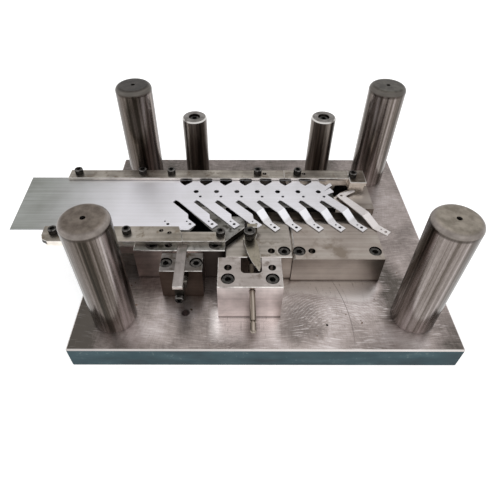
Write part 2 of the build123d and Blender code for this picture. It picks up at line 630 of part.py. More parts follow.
def finger_spigot():
    return shaft_y(SPIGOT_AT[0], SHOE_T + SPIGOT_AT[1], *SPIGOT_Y, SPIGOT_R)


def coil(length, radius, wire_r, turns):
    """Compression spring standing on its end, with its wire between 0 and `length`."""
    rise = length - 2 * wire_r
    path = Helix(rise / turns, rise, radius)
    wire = sweep((path ^ 0) * RegularPolygon(wire_r, 6), path, is_frenet=True)
    return Pos(0, 0, wire_r) * wire


def finger_spring():
    x, height = SPIGOT_AT
    y1 = FINGER_Y0 - 0.05
    spring = coil(y1 - LUG_Y[1] - 0.05, FINGER_SPRING_R, FINGER_WIRE_R, 4)
    return Pos(x, y1, SHOE_T + height) * Rot(90, 0, 0) * spring


def lever_block():
    top = SHOE_T + LEVER_BLOCK_H
    block = edge_break(slab(LEVER_BLOCK_X, LEVER_BLOCK_Y, (SHOE_T, top)), 0.7)
    notch = slab(NOTCH_X, (NOTCH_Y0, LEVER_BLOCK_Y[1] + 10), (SHOE_T - 1, top + 1))
    inner = notch.edges().filter_by(Axis.Z).group_by(Axis.Y)[0]
    block -= fillet(inner, NOTCH_ROUND)
    for x, y in LEVER_SCREWS:
        block = screw_hole(block, x, y, top)
    for x, y in LEVER_DOWELS:
        block = dowel_hole(block, x, y, top)
    z = SHOE_T + PLUNGER_H
    block -= shaft_y(PLUNGER_X, z, LEVER_BLOCK_Y[0] - 1, NOTCH_Y0 + 1, PLUNGER_R + SLIP)
    block -= shaft_y(PLUNGER_X, z, LEVER_BLOCK_Y[0] - 1, LEVER_BLOCK_Y[0] + 1.2, PLUNGER_R + 0.7)
    return block - shaft_y(PLUNGER_X, z, CHAMBER_Y0, NOTCH_Y0 + 1, COLLAR_R + 0.4)


def lever_block_screws():
    screw = cap_screw(8, LEVER_BLOCK_H - CBORE_DEPTH + THREAD_DEPTH)
    return group([Pos(x, y, SHOE_T + LEVER_BLOCK_H - CBORE_DEPTH) * screw for x, y in LEVER_SCREWS])


def lever_block_dowels():
    return group([sunk_dowel(x, y, SHOE_T + LEVER_BLOCK_H) for x, y in LEVER_DOWELS])


def lever():
    z0, z1 = (SHOE_T + h for h in LEVER_H)
    left = ThreePointArc(*LEVER_CURVE)
    tail = ((TAIL_X[1], TAIL_Y[0]), (TAIL_X[1], TAIL_Y[1]), (TAIL_X[0], TAIL_Y[1]), (TAIL_X[0], TAIL_Y[0]))
    side = Polyline(LEVER_CURVE[2], *LEVER_RIGHT, *tail, (PIVOT[0] - LEVER_BOSS_R, PIVOT[1]), LEVER_CURVE[0])
    plate = Pos(0, 0, z0) * extrude(make_face(left + side), z1 - z0, dir=(0, 0, 1))
    plate += post(*PIVOT, z0, z1, LEVER_BOSS_R)
    plate = chamfer(plate.faces().sort_by(Axis.Z)[-1].outer_wire().edges(), 0.4)
    plate += edge_break(slab(TAIL_X, TAIL_Y, (z0, SHOE_T + TAIL_H)), 0.5)
    return plate - post(*PIVOT, z0 - 1, z1 + 1, PIVOT_R + SLIP)


def lever_pivot_screw():
    """Shoulder screw: the lever turns on its shoulder, and its M6 end is in the die block."""
    head_r, head_h, key = PIVOT_HEAD
    head_z = SHOE_T + PIVOT_HEAD_H
    head = post(*PIVOT, head_z, head_z + head_h, head_r)
    head = chamfer(head.faces().sort_by(Axis.Z)[-1].edges(), 0.6)
    socket = extrude(RegularPolygon(key / 2, 6, major_radius=False), head_h)
    head -= Pos(*PIVOT, head_z + head_h * 0.4) * socket
    return head + post(*PIVOT, LOW_Z, head_z, PIVOT_R) + post(*PIVOT, LOW_Z - 12, LOW_Z, 3)


def lever_hold_spring():
    """Spring round the shoulder that holds the lever down."""
    z0 = SHOE_T + LEVER_H[1] + BODY_GAP
    spring = coil(SHOE_T + PIVOT_HEAD_H - 0.05 - z0, HOLD_SPRING_R + 0.25, HOLD_WIRE_R, 3)
    return Pos(*PIVOT, z0) * spring


def plunger_rod():
    z = SHOE_T + PLUNGER_H
    rod = shaft_y(PLUNGER_X, z, *PLUNGER_Y, PLUNGER_R)
    rod = chamfer(rod.faces().sort_by(Axis.Y)[0].edges(), 0.6)
    neck = shaft_y(PLUNGER_X, z, *PLUNGER_NECK, PLUNGER_R + 1)
    rod -= neck - shaft_y(PLUNGER_X, z, *PLUNGER_NECK, PLUNGER_R - 0.8)
    collar_y = NOTCH_Y0 - 0.2
    return rod + shaft_y(PLUNGER_X, z, collar_y - COLLAR_T, collar_y, COLLAR_R)


def plunger_spring():
    y0 = CHAMBER_Y0 + 0.05
    y1 = NOTCH_Y0 - 0.25 - COLLAR_T
    spring = coil(y1 - y0, COLLAR_R - PLUNGER_WIRE_R - 0.1, PLUNGER_WIRE_R, 3)
    return Pos(PLUNGER_X, y1, SHOE_T + PLUNGER_H) * Rot(90, 0, 0) * spring


def sheet_outline():
    """Strip outline with its flat arms whole and its formed arms cut off at the first bend."""
    points = [STRIP_LEFT[0], STRIP_LEFT[1], (arm_point(0, ARM_END, 0)[0] - 1.5, STRIP_Y0)]
    for index in range(STATIONS + 1):
        if index > 0:
            points.append(arm_point(index, 0, 0))
        if index < FIRST_FORMED:
            points += arm_tip(index) if index else arm_tip(index)[1:]
        else:
            points += [arm_point(index, BEND_FROM, 0), arm_point(index, BEND_FROM, ARM_W - WEB_NARROWS)]
        if index < STATIONS:
            points += [(x + PITCH * index, y) for x, y in SLOT_END]
    return points + list(STRIP_END) + [(STRIP_END[-1][0], STRIP_Y1)]


def bent_sheet(index, bends, heights, past):
    """Sheet bent down across arm `index`: `bends` along the arm, `heights` at the four stations."""
    lift = STRIP_T * 0.27
    s = [bends[0] - past[0], bends[0], bends[1], bends[1] + past[1]]
    under = [(a, h) for a, h in zip(s, heights)]
    over = [(s[0], heights[0] + STRIP_T), (s[1] + lift, heights[1] + STRIP_T),
            (s[2] + lift, heights[2] + STRIP_T), (s[3], heights[3] + STRIP_T)]
    face = make_face(Polyline(*under, *reversed(over), close=True))
    wide = extrude(face, 60, dir=(0, 0, 1), both=True)
    x, y = arm_point(index, 0, 0)
    return Pos(x, y, 0) * Rot(0, 0, -ARM_ANGLE) * Rot(90, 0, 0) * wide


def carrier_strip():
    sheet = prism(sheet_outline(), STRIP_Z0, STRIP_Z1)
    end = ARM_END - FORM_SHORTENS
    for index in range(FIRST_FORMED, STATIONS + 1):
        outline = [
            arm_point(index, BEND_FROM - 0.5, 0),
            arm_point(index, end, -0.6),
            arm_point(index, end, TAB_W - 0.6),
            arm_point(index, BEND_TO + 5.0, TAB_W - 0.6), arm_point(index, BEND_TO + 1.0, ARM_W - 3.0),
            arm_point(index, BEND_FROM, ARM_W - WEB_NARROWS),
        ]
        low = STRIP_Z0 - FORM_DROP
        bent = bent_sheet(index, (BEND_FROM, BEND_TO), (STRIP_Z0, STRIP_Z0, low, low), (5, end))
        sheet += bent & prism(outline, LOW_Z, RAIL_TOP)
    for index in range(STATIONS):
        sheet -= prism(shifted(WINDOW, PITCH * index), LOW_Z, RAIL_TOP)
        if index < STATIONS - 1:
            sheet -= post(PILOT_AT[0] + PITCH * index, PILOT_AT[1], LOW_Z, RAIL_TOP, PILOT_R)
            sheet -= post(SMALL_AT[0] + PITCH * index, SMALL_AT[1], LOW_Z, RAIL_TOP, SMALL_R)
    for index in range(-1, STATIONS + 1):
        back = FORM_SHORTENS if index >= FIRST_FORMED else 0
        for along, r in TAB_HOLES:
            sheet -= post(*arm_point(index, along - back, TAB_HOLE_LINE - back * 0.1), LOW_Z, RAIL_TOP, r)
    return sheet


def finished_part():
    low = LOW_Z + BODY_GAP
    heights = (low, low + PART_RISE, low, low + 2.0)
    bent = bent_sheet(STATIONS + 1, PART_BENDS, heights, (PART_BENDS[0] + 30.0, 22.0))
    part = bent & prism(PART_OUTLINE, LOW_Z, RAIL_TOP)
    for x, y, r in PART_HOLES:
        part -= post(x, y, LOW_Z, RAIL_TOP, r)
    return part


NODES = {
    "die_shoe": die_shoe(),
    "guide_post_front_left": guide_post(-1, -1),
    "guide_post_front_right": guide_post(1, -1),
    "guide_post_rear_left": guide_post(-1, 1),
    "guide_post_rear_right": guide_post(1, 1),
    "limit_post_left": limit_post(-1),
    "limit_post_right": limit_post(1),
    "limit_post_screws": limit_post_screws(),
    "die_plate_left": die_plate_left(),
    "piercing_plate": piercing_plate(),
    "pilot_plate": pilot_plate(),
    "die_block_middle": die_block_middle(),
    "die_block_right": die_block_right(),
    "form_insert": form_insert(),
    "insert_screws": insert_screws(),
    "rail_spacer": rail_spacer(),
    "shelf_bracket": shelf_bracket(),
    "stock_shelf": stock_shelf(),
    "rear_rail_left": rear_rail_left(),
    "rear_rail_right": rear_rail_right(),
    "rail_end_plate": rail_end_plate(),
    "front_rail_long": front_rail_long(),
    "front_rail_short": front_rail_short(),
    "rail_screws": rail_screws(),
    "rail_dowels": rail_dowels(),
    "block_screws": block_screws(),
    "block_dowels": block_dowels(),
    "finger_block": finger_block(),
    "finger_block_screws": finger_block_screws(),
    "finger_bar": finger_bar(),
    "finger_lug": finger_lug(),
    "finger_guide_screw": finger_guide_screw(),
    "finger_spigot": finger_spigot(),
    "finger_spring": finger_spring(),
    "lever_block": lever_block(),
    "lever_block_screws": lever_block_screws(),
    "lever_block_dowels": lever_block_dowels(),
    "lever": lever(),
    "lever_pivot_screw": lever_pivot_screw(),
    "lever_hold_spring": lever_hold_spring(),
    "plunger_rod": plunger_rod(),
    "plunger_spring": plunger_spring(),
    "carrier_strip": carrier_strip(),
    "finished_part": finished_part(),
}
for name, shape in NODES.items():
    export_step(shape, f"parts/{name}.step")
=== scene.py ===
import math

import bpy
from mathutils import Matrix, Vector


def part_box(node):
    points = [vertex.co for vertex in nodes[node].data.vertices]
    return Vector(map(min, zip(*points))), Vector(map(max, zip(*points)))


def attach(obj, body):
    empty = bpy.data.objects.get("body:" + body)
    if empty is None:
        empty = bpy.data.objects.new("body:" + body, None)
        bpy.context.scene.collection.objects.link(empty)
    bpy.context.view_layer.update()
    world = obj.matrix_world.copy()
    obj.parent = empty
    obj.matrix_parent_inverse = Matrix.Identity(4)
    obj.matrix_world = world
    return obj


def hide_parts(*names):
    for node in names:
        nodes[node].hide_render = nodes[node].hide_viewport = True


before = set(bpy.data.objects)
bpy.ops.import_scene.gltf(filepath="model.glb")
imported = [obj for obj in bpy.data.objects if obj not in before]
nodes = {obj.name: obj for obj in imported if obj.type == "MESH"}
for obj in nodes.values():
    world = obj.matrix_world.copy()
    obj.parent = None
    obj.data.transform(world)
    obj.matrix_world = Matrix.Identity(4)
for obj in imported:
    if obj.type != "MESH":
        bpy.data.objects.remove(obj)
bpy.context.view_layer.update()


# ---- Die shoe ---------------------------------------------------------------------------
# Thick steel plate that carries everything. Its top is bare and swirled by a hand grinder, with
# painted sheen, painted reflections and painted shade on it; its sides are painted blue-green.
class Wire:
    """A socket in a node tree. Arithmetic on it adds Math nodes; `node` adds any other."""

    def __init__(self, tree, socket=None):
        self.tree = tree
        self.socket = socket

    def node(self, kind, settings=None, inputs=None, output=0):
        made = self.tree.nodes.new(kind)
        for name, value in (settings or {}).items():
            if name == "stops":
                ramp = made.color_ramp.elements
                while len(ramp) < len(value):
                    ramp.new(0.5)
                for stop, (at, colour) in zip(ramp, value):
                    stop.position = at
                    stop.color = (*colour, 1)
            else:
                setattr(made, name, value)
        for name, value in (inputs or {}).items():
            if isinstance(value, Wire):
                self.tree.links.new(value.socket, made.inputs[name])
            else:
                made.inputs[name].default_value = value
        return Wire(self.tree, made.outputs[output]) if made.outputs else Wire(self.tree)

    def maths(self, operation, first, second=0.0):
        """A Math node on any two values."""
        return self.node("ShaderNodeMath", {"operation": operation}, {0: first, 1: second})

    def __add__(self, other):
        return self.maths("ADD", self, other)

    def __radd__(self, other):
        return self.maths("ADD", other, self)

    def __sub__(self, other):
        return self.maths("SUBTRACT", self, other)

    def __rsub__(self, other):
        return self.maths("SUBTRACT", other, self)

    def __mul__(self, other):
        return self.maths("MULTIPLY", self, other)

    def __rmul__(self, other):
        return self.maths("MULTIPLY", other, self)

    def __truediv__(self, other):
        return self.maths("DIVIDE", self, other)

    def __abs__(self):
        return self.maths("ABSOLUTE", self)

    def most(self, *others):
        """The greatest of this value and the others."""
        top = self
        for other in others:
            top = self.maths("MAXIMUM", top, other)
        return top

    def above(self, limit, soft=0.1):
        """0 below the limit, 1 above it, with a soft step."""
        return self.node("ShaderNodeMapRange", {"clamp": True}, {
            "Value": self, "From Min": limit - soft, "From Max": limit + soft})

    def below(self, limit, soft=0.1):
        """1 below the limit, 0 above it."""
        return 1 - self.above(limit, soft)

    def between(self, low, high, soft=0.004):
        """1 between two limits, 0 outside them."""
        return self.above(low, soft) * self.below(high, soft)

    def noise(self, scale, detail=3.0, stretch=(1, 1, 1), turn=0.0, rough=0.5):
        """Noise on this position, drawn out along an axis by a small stretch factor."""
        turned = self.node("ShaderNodeMapping", None, {
            "Vector": self, "Rotation": (0, 0, turn), "Scale": stretch})
        return turned.node("ShaderNodeTexNoise", None, {
            "Vector": turned, "Scale": scale, "Detail": detail, "Roughness": rough}, "Fac")

    def swirled(self, scale, amount):
        """This position, pushed about by a slow noise, so that straight marks on it curl."""
        push = self.node("ShaderNodeTexNoise", None, {
            "Vector": self, "Scale": scale, "Detail": 1.0}, "Color")
        push = self.node("ShaderNodeVectorMath", {"operation": "SCALE"}, {0: push, "Scale": amount})
        return self.node("ShaderNodeVectorMath", {"operation": "ADD"}, {0: self, 1: push})

    def ramp(self, *stops):
        """Colours at their stops, with the ones between blended."""
        return self.node("ShaderNodeValToRGB", {"stops": stops}, {"Fac": self}, "Color")

    def levels(self, *stops):
        """Plain numbers at their stops."""
        return self.ramp(*[(at, (level,) * 3) for at, level in stops])

    def blend(self, first, second):
        """Colour mix by this mask."""
        first, second = [c if isinstance(c, Wire) else (*c, 1) for c in (first, second)]
        return self.node("ShaderNodeMix", {"data_type": "RGBA"}, {0: self, 6: first, 7: second}, 2)

    def split(self):
        """The three parts of a vector."""
        parts = self.tree.nodes.new("ShaderNodeSeparateXYZ")
        self.tree.links.new(self.socket, parts.inputs[0])
        return [Wire(self.tree, out) for out in parts.outputs]


def finish(name):
    """A new material, and the object-space position that its patterns start from."""
    material = bpy.data.materials.new(name)
    material.use_nodes = True
    material.node_tree.nodes.clear()
    start = Wire(material.node_tree)
    return material, start.node("ShaderNodeTexCoord", output="Object")


def facing(place):
    """The three parts of the surface normal."""
    return place.node("ShaderNodeTexCoord", output="Normal").split()


def edge_break(place):
    """1 on ground edge breaks, which lean up and out, and 0 on the faces."""
    across, along, up = [abs(part) for part in facing(place)]
    widest = across.most(along, up)
    return widest.below(0.86, 0.05) * up.above(0.3, 0.1)


def metal(place, colour, roughness, metallic=1.0, bump=None, height=0.1, distance=0.0002):
    """Principled surface with an optional bump, wired to the output."""
    if not isinstance(colour, Wire):
        colour = (*colour, 1)
    inputs = {"Base Color": colour, "Roughness": roughness, "Metallic": metallic}
    if bump is not None:
        inputs["Normal"] = place.node("ShaderNodeBump", None, {
            "Height": bump, "Strength": height, "Distance": distance}, "Normal")
    shader = place.node("ShaderNodeBsdfPrincipled", None, inputs, "BSDF")
    place.node("ShaderNodeOutputMaterial", None, {"Surface": shader})


def dress(material, *names):
    """Gives the material to the nodes of these names."""
    for name in names:
        for slot in nodes[name].material_slots:
            slot.material = material


shoe_finish, place = finish("shoe_hand_ground")
x, y = place.split()[:2]
curled = place.swirled(9.0, 0.05)
arcs = curled.noise(640.0, 2.0, (0.09, 1, 1), 0.5)
cross_arcs = curled.noise(560.0, 2.0, (1, 0.08, 1), -0.3)
speckle = place.noise(1100.0, 2.0)
patches = place.noise(15.0, 5.0, rough=0.62)
smudges = place.noise(42.0, 4.0, rough=0.6)


def soft_oval(at_x, at_y, half_x, half_y):
    """A soft oval on the shoe, 1 in its middle."""
    off_x = (x - at_x) / half_x
    off_y = (y - at_y) / half_y
    return (off_x * off_x + off_y * off_y).below(0.75, 0.75)


def soft_ovals(*ovals):
    """Several ovals together, each with its middle, its half widths and its share."""
    return sum(soft_oval(*oval) * share for *oval, share in ovals)


# painted sheen: the front middle of the shoe lighter, as a pool of light
painted_sheen = soft_oval(0.07, -0.125, 0.13, 0.06)
# painted highlights and reflections: bright ovals in front of the blocks and round the foot of the posts
painted_highlights = soft_ovals((0.075, -0.084, 0.06, 0.012, 0.28), (0.105, -0.085, 0.026, 0.018, 0.36),
                   (-0.088, -0.112, 0.03, 0.022, 0.18), (0.160, 0.090, 0.06, 0.07, 0.20),
                   (-0.142, -0.146, 0.045, 0.020, 0.20), (0.143, -0.148, 0.035, 0.018, 0.18))
# painted shade: darker ovals near the posts and blocks, and the shoe darker towards the rear and the left
painted_shades = soft_ovals((-0.197, -0.135, 0.035, 0.06, 0.30), (0.188, -0.145, 0.03, 0.03, 0.16),
                 (0.143, -0.094, 0.022, 0.05, 0.26), (0.037, -0.132, 0.026, 0.026, 0.22),
                 (0.105, -0.153, 0.03, 0.02, 0.10))
rear_shade = y.above(0.06, 0.05) * 0.05
left_shade = y.above(-0.06, 0.04) * x.below(-0.05, 0.05) * 0.05
painted_shades = painted_shades + rear_shade + left_shade
wear_and_sheen = patches * 0.50 + smudges * 0.25 + (arcs * 0.45 + cross_arcs * 0.25 + speckle * 0.3) * 0.47
# grinding marks and patches, with the painted sheen, highlights and shade added
wear_and_sheen = wear_and_sheen + painted_sheen * 0.13 + painted_highlights - painted_shades
bare = wear_and_sheen.ramp((0.44, (0.075, 0.066, 0.058)), (0.56, (0.17, 0.145, 0.135)), (0.68, (0.29, 0.25, 0.235)),
                 (0.80, (0.43, 0.38, 0.37)), (0.92, (0.60, 0.56, 0.55)))
# painted reflection: two bright patches in front of the lever block, with a painted shadow of the plunger
# as a dull line between
reflected_patches = x.above(-0.054, 0.005) * x.below(0.013, 0.004) * abs(x + 0.0135).above(0.005, 0.004)
reflected_patches = reflected_patches * y.above(-0.147, 0.012) * y.below(-0.115, 0.004) * (speckle * 0.7 + arcs * 0.7)
bare = (reflected_patches * 1.1).blend(bare, (0.95, 0.89, 0.88))
# rings that a turning tool left in front of the right block
from_x = x - 0.075
from_y = y + 0.150
from_middle = from_x * from_x + from_y * from_y
from_middle = from_middle.maths("POWER", from_middle, 0.5)
waves = from_middle * 2100.0 + patches * 14.0
rings = waves.maths("SINE", waves).above(0.75, 0.2) * soft_oval(0.075, -0.105, 0.05, 0.03)
bare = (rings * speckle.above(0.45, 0.1) * 0.45).blend(bare, (0.72, 0.68, 0.68))
# bright scores, one long dark scratch, dull grooves and rust pits
scores = arcs.above(0.62, 0.04) * smudges.above(0.45, 0.08)
# the scores show brighter inside the painted sheen
bare = (scores * (painted_sheen * 0.35 + 0.08)).blend(bare, (0.70, 0.66, 0.66))
along = y + 0.11
scratch = abs(x - 0.089 + along * 0.17 + along * along * 3.0).below(0.00035, 0.0002)
bare = (scratch * soft_oval(0.09, -0.115, 0.04, 0.045) * 0.75).blend(bare, (0.09, 0.075, 0.07))
grooves = cross_arcs.above(0.66, 0.04) * smudges.below(0.55, 0.08) * 0.4
bare = grooves.blend(bare, (0.12, 0.10, 0.092))
pits = place.noise(120.0, 2.0).above(0.75, 0.02)
bare = pits.blend(bare, (0.10, 0.065, 0.045))
# painted sides, marked and chipped
SHOE_HALF_WIDTH, SHOE_HALF_DEPTH, SHOE_TOP = 0.2, 0.165, 0.030
PAINT_EDGE = 0.0008
outside = abs(x).above(SHOE_HALF_WIDTH - PAINT_EDGE, 0.0002)
outside = outside.most(abs(y).above(SHOE_HALF_DEPTH - PAINT_EDGE, 0.0002))
paint_marks = place.noise(60.0, 4.0, (0.4, 1, 1))
paint = paint_marks.ramp((0.3, (0.010, 0.034, 0.045)), (0.5, (0.024, 0.066, 0.082)),
                         (0.7, (0.050, 0.108, 0.128)))
chips = (paint_marks * 0.5 + place.noise(260.0, 3.0) * 0.5).above(0.62, 0.03)
paint = chips.blend(paint, (0.10, 0.16, 0.17))
corner = edge_break(place)
outside = outside * (1 - corner)
# painted highlight: the shoe's edge breaks lighter
bare = (corner * 0.8).blend(bare, (0.66, 0.62, 0.60))
colour = outside.blend(bare, paint)
metal(place, colour, smudges * 0.25 + 0.22 + outside * 0.3, 1 - outside, arcs, 0.10)
dress(shoe_finish, "die_shoe")


# ---- Guide posts ------------------------------------------------------------------------
# Four hardened round posts, pressed into the shoe. They are ground lengthwise and wiped with
# oil, which leaves upright streaks; their rounded tops are dull from the mallet. Bands of
# painted reflection run round the shafts, and the caps carry painted shade and highlights.
post_finish, place = finish("post_oiled_steel")
x, y, z = place.split()
broad = place.noise(125.0, 1.0, (1, 1, 0.015))
narrow = place.noise(400.0, 2.0, (1, 1, 0.010))
grain = place.noise(900.0, 2.0, (1, 1, 0.3))
POST_X, POST_Y, POST_WIDTH, POST_TOP = 0.158, 0.1225, 0.045, 0.169
on_right = x.above(0.0, 0.05)
on_rear = y.above(0.0, 0.05)
rear_sign = y.above(0.0, 0.01) - 0.5
lean_left = (abs(y) - POST_Y) * rear_sign * 0.66
lean_right = (abs(y) - POST_Y) * rear_sign * 0.92
# how far round each shaft, from its outer side at 0 to the other at 1, and how bright the painted
# reflection bands are there
round_left = ((x + POST_X) * 0.94 + lean_left) / POST_WIDTH + 0.5
round_right = ((x - POST_X) * 0.88 - lean_right) / POST_WIDTH + 0.5
reflection_left = round_left.levels((0.0, 0.46), (0.28, 0.50), (0.44, 0.46), (0.58, 0.54),
                                (0.70, 0.63), (0.81, 0.68), (0.90, 0.56), (1.0, 0.42))
reflection_right = round_right.levels((0.0, 0.50), (0.20, 0.54), (0.38, 0.63), (0.50, 0.55),
                                  (0.60, 0.55), (0.70, 0.62), (0.86, 0.50), (1.0, 0.48))
shaft_reflection = on_right.blend(reflection_left, reflection_right)
streaks_and_reflections = (broad - 0.5) * 0.30 + (narrow - 0.5) * 0.35 + (grain - 0.5) * 0.07
# painted reflection bands, and a painted highlight at the foot of each shaft
streaks_and_reflections = streaks_and_reflections + shaft_reflection + z.below(0.06, 0.03) * 0.06
shaft = streaks_and_reflections.ramp((0.38, (0.022, 0.018, 0.013)), (0.46, (0.060, 0.048, 0.038)),
                     (0.53, (0.13, 0.108, 0.094)), (0.60, (0.26, 0.225, 0.208)),
                     (0.68, (0.44, 0.39, 0.38)))
mottle = place.noise(140.0, 4.0, rough=0.6)
# painted shade: the rear caps darker than the front ones, the left ones darker than the right
front_tops = on_right.blend(mottle.ramp((0.35, (0.085, 0.068, 0.056)), (0.65, (0.15, 0.125, 0.105))),
                            mottle.ramp((0.35, (0.15, 0.13, 0.105)), (0.65, (0.25, 0.22, 0.185))))
rear_tops = on_right.blend(mottle.ramp((0.35, (0.016, 0.013, 0.011)), (0.65, (0.042, 0.035, 0.030))),
                           mottle.ramp((0.35, (0.032, 0.027, 0.022)), (0.65, (0.085, 0.078, 0.065))))
tops = on_rear.blend(front_tops, rear_tops)
cap = z.above(POST_TOP - 0.005, 0.0008)
rounded = cap * facing(place)[2].below(0.88, 0.12)
# painted highlight on the rounded rims of the caps, duller at the rear
rim_highlight = (mottle * 0.5 + 0.3).ramp((0.35, (0.12, 0.10, 0.088)), (0.62, (0.26, 0.23, 0.21)))
rim_highlight = on_rear.blend(rim_highlight, (0.11, 0.10, 0.09))
colour = rounded.blend(cap.blend(shaft, tops), rim_highlight)
# painted shade: a dark line just under the rounded rim
shade_line = z.above(POST_TOP - 0.0075, 0.0008) * z.below(POST_TOP - 0.0048, 0.0006)
colour = (shade_line * 0.75).blend(colour, (0.05, 0.04, 0.033))
metal(place, colour, cap * 0.14 + 0.22, 0.95, narrow, 0.05)
dress(post_finish, "guide_post_front_left", "guide_post_front_right", "guide_post_rear_left",
      "guide_post_rear_right")


# ---- Limit posts and their screws -------------------------------------------------------
# Two shorter dark posts that stop the press. Each is held down by a long cap screw whose
# head sits in a counterbore.
limit_finish, place = finish("limit_post_dark_steel")
broad = place.noise(110.0, 1.0, (1, 1, 0.02))
narrow = place.noise(360.0, 2.0, (1, 1, 0.02))
shaft = (broad * 0.65 + narrow * 0.35).ramp((0.38, (0.045, 0.035, 0.030)), (0.50, (0.12, 0.098, 0.083)),
                                            (0.62, (0.26, 0.23, 0.205)))
top = place.noise(150.0, 3.0).ramp((0.4, (0.12, 0.11, 0.10)), (0.65, (0.22, 0.205, 0.195)))
colour = facing(place)[2].above(0.9, 0.05).blend(shaft, top)
# painted highlight: bright chamfers
colour = edge_break(place).blend(colour, (0.62, 0.60, 0.58))
metal(place, colour, 0.3, 0.95, narrow, 0.05)
dress(limit_finish, "limit_post_left", "limit_post_right")


def add_node(tree, kind, settings=None, inputs=None):
    """Adds a geometry node, sets it up and feeds its sockets."""
    made = tree.nodes.new(kind)
    for name, value in (settings or {}).items():
        setattr(made, name, value)
    for name, value in (inputs or {}).items():
        if isinstance(value, bpy.types.NodeSocket):
            tree.links.new(value, made.inputs[name])
        else:
            made.inputs[name].default_value = value
    return made


def times(tree, size, factor):
    """A size times a number, worked out in the tree."""
    return add_node(tree, "ShaderNodeMath", {"operation": "MULTIPLY"}, {0: size, 1: factor}).outputs[0]


def new_tree(name, **sizes):
    """A geometry tree that takes seats and named sizes and gives back a mesh."""
    tree = bpy.data.node_groups.new(name, "GeometryNodeTree")
    tree.interface.new_socket("Seats", in_out="INPUT", socket_type="NodeSocketGeometry")
    for size, value in sizes.items():
        kind = "NodeSocketVector" if isinstance(value, tuple) else "NodeSocketFloat"
        tree.interface.new_socket(size, in_out="INPUT", socket_type=kind).default_value = value
    tree.interface.new_socket("Made", in_out="OUTPUT", socket_type="NodeSocketGeometry")
    return tree, tree.nodes.new("NodeGroupInput").outputs


def set_out(tree, seats, shape, material, turn=None):
    """Stands the shape on every seat, makes it real and gives it its material."""
    inputs = {"Points": seats, "Instance": shape}
    if turn is not None:
        inputs["Rotation"] = turn
    placed = add_node(tree, "GeometryNodeInstanceOnPoints", None, inputs)
    real = add_node(tree, "GeometryNodeRealizeInstances", None, {0: placed.outputs[0]})
    done = add_node(tree, "GeometryNodeSetMaterial", None, {
        "Geometry": real.outputs[0], "Material": material})
    tree.links.new(done.outputs[0], tree.nodes.new("NodeGroupOutput").inputs[0])


def grown(name, points, tree, values):
    """Runs a geometry tree on a set of points and returns the result as a plain piece."""
    seats = bpy.data.meshes.new(name + "_seats")
    seats.from_pydata(points, [], [])
    host = bpy.data.objects.new(name + "_seats", seats)
    bpy.context.scene.collection.objects.link(host)
    modifier = host.modifiers.new("grow", "NODES")
    modifier.node_group = tree
    for item in tree.interface.items_tree:
        if item.in_out == "INPUT" and item.name in values:
            modifier[item.identifier] = values[item.name]
    result = bpy.data.meshes.new_from_object(host.evaluated_get(bpy.context.evaluated_depsgraph_get()))
    host.modifiers.remove(modifier)
    bpy.data.objects.remove(host)
    result.name = name
    piece = bpy.data.objects.new(name, result)
    bpy.context.scene.collection.objects.link(piece)
    return piece


def joined(name, pieces):
    """One piece from several."""
    with bpy.context.temp_override(active_object=pieces[0], selected_editable_objects=pieces,
                                   selected_objects=pieces, object=pieces[0]):
        bpy.ops.object.join()
    pieces[0].name = name
    return pieces[0]


def solids_of(node):
    """Lowest and highest corner of each separate solid in a node."""
    mesh = nodes[node].data
    near = {}
    for corner in mesh.vertices:
        near.setdefault(tuple(round(c * 1e5) for c in corner.co), []).append(corner.index)
    owner = list(range(len(mesh.vertices)))

    def root(i):
        while owner[i] != i:
            owner[i] = owner[owner[i]]
            i = owner[i]
        return i

    for same in near.values():
        for i in same[1:]:
            owner[root(i)] = root(same[0])
    for edge in mesh.edges:
        owner[root(edge.vertices[0])] = root(edge.vertices[1])
    groups = {}
    for corner in mesh.vertices:
        groups.setdefault(root(corner.index), []).append(corner.co)
    return [(Vector(map(min, zip(*g))), Vector(map(max, zip(*g)))) for g in groups.values()]


